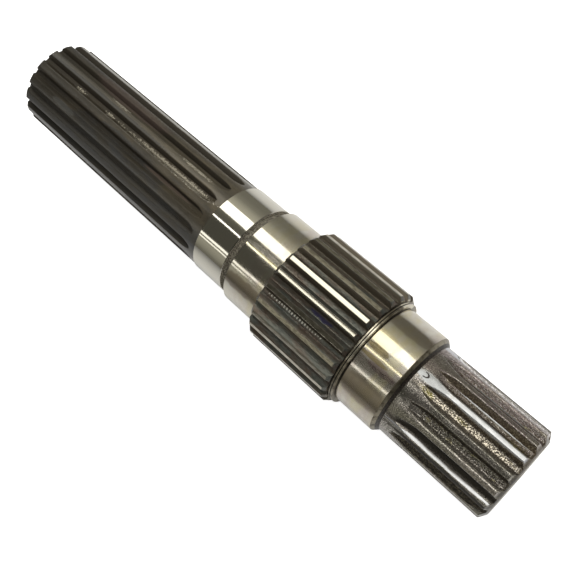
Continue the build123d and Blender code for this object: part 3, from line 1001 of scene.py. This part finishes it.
def oxide_spline():
    """Oiled black oxide: dark, half metallic, with bare speckled streaks where a hub slid."""
    material, tree = new_tree("black_oxide_steel")
    place, station, turn = shaft_places(tree)
    depth_here = node(tree, "Attribute", {}, attribute_name="depth")["Fac"]
    coast = node(tree, "Attribute", {}, attribute_name="coast")["Fac"]
    below = node(tree, "MapRange", {"Value": depth_here, "From Min": 0.08, "From Max": 0.5}, "SMOOTHSTEP")[0]
    along = node(tree, "Mapping", {"Vector": place, "Scale": (0.3, 1, 1)})[0]
    clouds = node(tree, "TexNoise", {"Vector": along, "Scale": 1 / (CLOUD_SIZE * MM), "Detail": 6})[0]
    tint = node(tree, "TexNoise", {"Vector": along, "Scale": 1 / (CAST_LENGTH * MM), "Detail": 3})[0]
    grain = node(tree, "TexNoise", {"Vector": place, "Scale": 1 / (GRAIN_SIZE * MM), "Detail": 3})[0]
    bare = widest(tree, station, turn, RUBBED, grain, 4.5)
    cloudy = node(tree, "MapRange", {"Value": clouds, "From Min": 0.35, "From Max": 0.65})[0]
    # Painted reflection: the skin turns cooler and darker away from the lamps' side.
    cool = node(tree, "MapRange", {"Value": turn, "From Min": -25, "From Max": -50})[0]
    oily = worn_patch(tree, station, turn, *OILY_FAR, clouds, rag=0.8)
    cool = node(tree, "Math", {0: cool, 1: oily}, "MAXIMUM")[0]
    cool = node(tree, "Math", {0: tint, 1: 0.6, 2: cool}, "MULTIPLY_ADD")[0]
    cool = node(tree, "MapRange", {"Value": cool, "From Min": 0.25, "From Max": 1.0})[0]
    skin_and_shade = node(tree, "Mix", {0: cool, 6: "#5c5340", 7: "#444443"}, "RGBA")[2]
    darker = node(tree, "MapRange", {"Value": station, "From Min": 195, "From Max": 225, "To Max": 0.25})[0]
    far = node(tree, "MapRange", {"Value": station, "From Min": 235, "From Max": 292, "To Max": 0.45})[0]
    darker = node(tree, "Math", {0: darker, 1: far}, "ADD")[0]
    sooty = worn_patch(tree, station, turn, *SOOTY, grain, rag=0.8)
    sooty = node(tree, "Math", {0: sooty, 1: 0.6}, "MULTIPLY")[0]
    # Painted shade: the coast flanks are dark, and the spaces below the lands a little darker.
    edge = node(tree, "MapRange", {"Value": depth_here, "From Min": 0.0, "From Max": 0.06})[0]
    dark = node(tree, "Math", {0: edge, 1: 0.35}, "MULTIPLY")[0]
    dark = node(tree, "Math", {0: dark, 1: coast}, "MAXIMUM")[0]
    sides = widest(tree, station, turn, WIPED_SIDES, clouds, 0.6)
    layers = [(cloudy, skin_and_shade), (darker, "#1d1a15"), (sooty, "#1b1813"), (dark, "#2f291e"), (sides, "#8b8881")]
    skin_and_shade = layered(tree, "#443e32", layers)
    skin_and_shade = stained(tree, station, turn, skin_and_shade, SMEARED, clouds, 0.8)
    colour = node(tree, "Mix", {0: bare, 6: skin_and_shade, 7: "#a39d8f"}, "RGBA")[2]
    metallic = node(tree, "MapRange", {"Value": bare, "To Min": 0.35, "To Max": 0.75})[0]
    rough = node(tree, "MapRange", {"Value": clouds, "To Min": 0.3, "To Max": 0.5})[0]
    rough = node(tree, "Math", {0: edge, 1: 0.22, 2: rough}, "MULTIPLY_ADD")[0]
    rough = node(tree, "Math", {0: sooty, 1: 0.3, 2: rough}, "MULTIPLY_ADD")[0]
    oil = node(tree, "MapRange", {"Value": edge, "To Min": 0.4, "To Max": 0.0})[0]
    relief = node(tree, "Bump", {"Height": grain, "Strength": 1.0, "Distance": 0.07 * MM})[0]
    steel = {"Base Color": colour, "Metallic": metallic, "Roughness": rough, "Normal": relief}
    steel |= {"Coat Weight": oil, "Coat Roughness": 0.2}
    return finished(material, node(tree, "BsdfPrincipled", steel)[0])


oxide = oxide_spline()

# %% [markdown]
# ## Grime and painted shade in the corners
#
# Where nothing rubs, grease has caught dust: in the ring groove, at the neck's foot, beside
# the collar. The paste could be a lumpy mesh of its own, but it is thinner than paper, so it
# is a dull rough skin with paler specks of dust. The neck's is thinner and oilier than the
# groove's, and the groove's end wall is the dustiest. The neck's near-black paste is partly
# painted shade: it also darkens the corners beside the collar, at the step to the large
# spline and at the ring seat's near edge, where shade falls.

# %% Grime


def grimy_steel(name, deep, pale, spot_size, metallic, rough):
    """Rough turned steel under a paste of dust and grease: dull, with pale dust in the dark."""
    material, tree = new_tree(name)
    place, station, turn = shaft_places(tree)
    spots = node(tree, "TexNoise", {"Vector": place, "Scale": 1 / (spot_size * MM), "Detail": 4})[0]
    dusty = node(tree, "MapRange", {"Value": spots, "From Min": 0.40, "From Max": 0.60}, "SMOOTHSTEP")[0]
    colour = node(tree, "Mix", {0: dusty, 6: deep, 7: pale}, "RGBA")[2]
    relief = node(tree, "Bump", {"Height": spots, "Strength": 1.0, "Distance": 0.2 * MM})[0]
    steel = {"Base Color": colour, "Metallic": metallic, "Roughness": rough, "Normal": relief}
    return finished(material, node(tree, "BsdfPrincipled", steel)[0])


groove = grimy_steel("greasy_groove_steel", "#4a4439", "#8b8575", 0.6, 0.0, 0.8)
wall = grimy_steel("greasy_wall_steel", "#6d6658", "#d3ccba", 0.6, 0.0, 0.7)
# Near black: grime, and painted shade in the corners it covers.
neck = grimy_steel("grime_and_shade_steel", "#1b1815", "#453e36", 0.45, 0.5, 0.35)

# %% [markdown]
# ## Which finish goes where
#
# A machinist's drawing gives each finish a stretch of the shaft, and so does this list. A
# face's row tells its station, so no face has to be picked by hand. What no stretch covers,
# such as the shoulders and chamfers, stays turned.

# %% Finishes by station
TOUCH = 0.01  # mm, tells a row that lies on a station from its neighbours
finishes = [turned, faced, worn, ground, treated, oxide, groove, wall, neck]
for finish in finishes:
    mesh.materials.append(finish)
# The neck's dark paste goes into the corners as painted shade as well as grime.
stretches = [
    (worn, TOUCH, neck_arc[0][0]),
    (neck, neck_arc[0][0], NECK_GRIME_SHADE_END),
    (ground, FRONT_START + TOUCH, UNDERCUT_START),
    (neck, UNDERCUT_START, FRONT_END),
    (neck, COLLAR_GROOVE, groove_end),
    (neck, COLLAR_END - TOUCH, LARGE_START),
    (treated, LARGE_START, LARGE_END),
    (ground, LARGE_END, REAR_END),
    (neck, REAR_END, SEAT_SHADE_END),
    (groove, SEAT_SHADE_END, RING_SEAT_END - TOUCH),
    (wall, RING_SEAT_END - TOUCH, RING_SEAT_END + TOUCH),
    (ground, RING_SEAT_END + TOUCH, OUTER_END),
    (oxide, OUTER_END, LENGTH),
]
row_station, row_radius = ((outline[:-1] + outline[1:]) / 2).T
row_finish = np.full(row_count - 1, finishes.index(turned))
for finish, start, end in stretches:
    row_finish[(row_station > start) & (row_station < end)] = finishes.index(finish)
on_end = (np.abs(row_station - LENGTH / 2) > LENGTH / 2 - TOUCH) | (row_radius < CENTRE_CONE_R)
on_shoulder = (row_station == LARGE_END) & (row_radius < LARGE.root_r)
row_finish[on_end | on_shoulder] = finishes.index(faced)
fan_finish = np.full(2 * COLUMNS, finishes.index(faced))
face_finish = np.concatenate([np.repeat(row_finish, COLUMNS), fan_finish])
mesh.polygons.foreach_set("material_index", face_finish.astype(np.int32))
mesh.update()
for number, finish in enumerate(finishes):
    print(f"{finish.name} is on {np.count_nonzero(row_finish == number)} rows")

# %% [markdown]
# ## The table
#
# The photograph stands on plain white. A white sheet does it: it takes the shaft's soft
# shadow, and it glows a little for the camera alone, so that it reads as paper white. More
# light would whiten it too, but it would wash out the steel. Paper has no gloss, so the
# sheet shows no lamp, only an even white with the shadow on it.
#
# The bright steel mirrors it. Away from the shaft the real table falls off into the dark
# of the room, and that fall-off is what ends the pale bands on the journals' sides softly.
# So mirror rays see the sheet as a pool of light: 1 / (1 + (y / reach)^2), y across the shaft.

# %% Table
TABLE_LEFT, TABLE_RIGHT, TABLE_FRONT, TABLE_BACK = -1.2, 1.4, -0.73, 0.40
FRONT_REACH = 0.27  # in metres, from the shaft towards the camera's side
BACK_REACH = 0.15
CAMERA_GLOW = 0.8
MIRROR_GLOW = 0.25
POOL_TOP, POOL_REST = 0.8, 0.2
table_mesh = bpy.data.meshes.new("white_table")
table_corners = [
    (TABLE_LEFT, TABLE_FRONT, 0),
    (TABLE_RIGHT, TABLE_FRONT, 0),
    (TABLE_RIGHT, TABLE_BACK, 0),
    (TABLE_LEFT, TABLE_BACK, 0),
]
table_mesh.from_pydata(table_corners, [], [(0, 1, 2, 3)])
table = bpy.data.objects.new("white_table", table_mesh)
bpy.context.collection.objects.link(table)

table_material, tree = new_tree("white_paper")
rays = node(tree, "LightPath", {})
x, y, z = node(tree, "SeparateXYZ", {0: node(tree, "TexCoord", {})["Object"]})
front_share = node(tree, "Math", {0: y, 1: 1 / FRONT_REACH}, "MULTIPLY")[0]
back_share = node(tree, "Math", {0: y, 1: 1 / BACK_REACH}, "MULTIPLY")[0]
behind = node(tree, "Math", {0: y, 1: 0.0}, "GREATER_THAN")[0]
share = node(tree, "Mix", {0: behind, 2: front_share, 3: back_share})[0]
spread = node(tree, "Math", {0: share, 1: share, 2: 1.0}, "MULTIPLY_ADD")[0]
pool = node(tree, "Math", {0: POOL_TOP, 1: spread}, "DIVIDE")[0]
pool = node(tree, "Math", {0: pool, 1: POOL_REST}, "ADD")[0]
mirrored = node(tree, "Mix", {0: rays["Is Glossy Ray"], 2: 1.0, 3: pool})[0]
paper = node(tree, "VectorMath", {0: linear("#f2f2f0")[:3], 3: mirrored}, "SCALE")[0]
matte = node(tree, "BsdfDiffuse", {"Color": paper})[0]
seen = node(tree, "Math", {0: rays["Is Camera Ray"], 1: CAMERA_GLOW}, "MULTIPLY")[0]
mirror_glow = node(tree, "Math", {0: rays["Is Glossy Ray"], 1: pool}, "MULTIPLY")[0]
mirror_in = {0: mirror_glow, 1: MIRROR_GLOW, 2: seen}
glow_strength = node(tree, "Math", mirror_in, "MULTIPLY_ADD")[0]
glow = node(tree, "Emission", {"Strength": glow_strength})[0]
both = node(tree, "AddShader", {0: matte, 1: glow})[0]
table_mesh.materials.append(finished(table_material, both))

# %% [markdown]
# ## The lamps
#
# Bright steel shows its lamps as they are. Its bands tell of four long strips, each nearly in
# line with the shaft: a broad one, a thin one almost overhead, and a pair low on the other
# side. A band on a cylinder lies half way between the lamp and the eye, so each lamp's angle
# and width were worked out from its band's. A few round lamps would light the teeth as well,
# but they would leave dots on the journals, not bands.
#
# The broad one also lights the dark teeth, which are lighter on the sides that face it. The
# soft key does the same, and it is hidden from mirror rays, so it leaves no band of its own.

# %% Lamps
LAMP_DISTANCE = 1.0
LAMP_COLOUR = (1.0, 0.985, 0.93)


def strip(name, from_up, wide, radiance, skew=0.0, middle=0.45, long=2.4):
    """A strip lamp that faces the shaft, at an angle from straight up towards -Y.

    It is as wide as an angle seen from the shaft, and its far end is skewed towards -Y, by a
    share of its length. The view looks along the shaft, and its mirror image too, so the
    lamp's middle lies beyond the shaft's.
    """
    lamp = bpy.data.lights.new(name, "AREA")
    lamp.shape = "RECTANGLE"
    lamp.color = LAMP_COLOUR
    lamp.size = long
    lamp.size_y = 2 * LAMP_DISTANCE * math.tan(math.radians(wide / 2))
    lamp.energy = radiance * math.pi * lamp.size * lamp.size_y
    holder = bpy.data.objects.new(name, lamp)
    turn = math.radians(from_up)
    away = Vector((0, -math.sin(turn), math.cos(turn)))
    sideways = Vector((0, -math.cos(turn), -math.sin(turn)))
    lengthwise = (Vector((1, 0, 0)) + skew * sideways).normalized()
    frame_axes = Matrix((lengthwise, away.cross(lengthwise), away)).transposed()
    place = Vector((middle, 0, AXIS_HEIGHT * MM)) + LAMP_DISTANCE * away
    holder.matrix_world = Matrix.Translation(place) @ frame_axes.to_4x4()
    bpy.context.collection.objects.link(holder)
    print(f"{name}: {lamp.size_y * 1000:.0f} mm wide at {from_up} degrees")
    return holder


strip("broad_lamp", from_up=24.5, wide=24, radiance=2.2, skew=0.13)
strip("thin_lamp", from_up=-7.6, wide=3.2, radiance=3.4)
strip("side_lamp", from_up=-54.5, wide=5, radiance=1.7, skew=-0.21)
strip("low_side_lamp", from_up=-71, wide=3, radiance=1.5, skew=-0.21, middle=1.2, long=1.6)
soft_key = strip("soft_key", from_up=45, wide=50, radiance=0.5)
soft_key.visible_glossy = False

# %% [markdown]
# ## The room
#
# Between the lamps, bright steel shows the room: dark to one side of the broad lamp, and
# grey with a warm cast beyond it. A picture of a room would do, but then its tones could not
# be set one by one. So rays are told apart: the camera sees white, soft light is a plain grey,
# and mirror rays see the room's tones by their angle about the shaft.

# %% Room
# Each tone with its angle, in degrees from straight up towards -Y.
ROOM = [
    (-180, 0.20),
    (-92, 0.21),
    (-84, 0.33),
    (-70, 0.45),
    (-50, 0.09),
    (-10, 0.09),
    (8, 0.16),
    (40, 0.60),
    (50, 0.50),
    (62, 0.30),
    (76, 0.23),
    (180, 0.20),
]
ROOM_TINT = (1, 0.965, 0.80)
SOFT_FILL = (0.25, 0.25, 0.26, 1)
world = bpy.data.worlds.new("room")
bpy.context.scene.world = world
world.use_nodes = True
tree = world.node_tree
tree.nodes.clear()
rays = node(tree, "LightPath", {})
x, y, z = node(tree, "SeparateXYZ", {0: node(tree, "TexCoord", {})["Generated"]})
front = node(tree, "Math", {0: y, 1: -1.0}, "MULTIPLY")[0]
turn = node(tree, "Math", {0: front, 1: z}, "ARCTAN2")[0]
share = node(tree, "MapRange", {"Value": turn, "From Min": -math.pi, "From Max": math.pi})[0]
tones = node(tree, "ValToRGB", {0: share})[0]
ramp = tones.node.color_ramp
ramp.elements.remove(ramp.elements[1])
for number, (degrees, tone) in enumerate(ROOM):
    place = 0.5 + degrees / 360
    stop = ramp.elements.new(place) if number else ramp.elements[0]
    stop.position = place
    stop.color = (*(tone * channel for channel in ROOM_TINT), 1)
# Beyond the shaft's short end the room is dark.
far_side = node(tree, "MapRange", {"Value": x, "From Min": -0.8, "From Max": -0.35, "To Min": 0.3})[0]
tones = node(tree, "VectorMath", {0: tones, 3: far_side}, "SCALE")[0]
unseen = node(tree, "Mix", {0: rays["Is Glossy Ray"], 6: SOFT_FILL, 7: tones}, "RGBA")[2]
light = node(tree, "Mix", {0: rays["Is Camera Ray"], 6: unseen, 7: (1, 1, 1, 1)}, "RGBA")[2]
background = node(tree, "Background", {"Color": light})[0]
node(tree, "OutputWorld", {"Surface": background})
bpy.context.scene.view_settings.view_transform = "Standard"
print(f"the room's ramp has {len(ramp.elements)} tones")
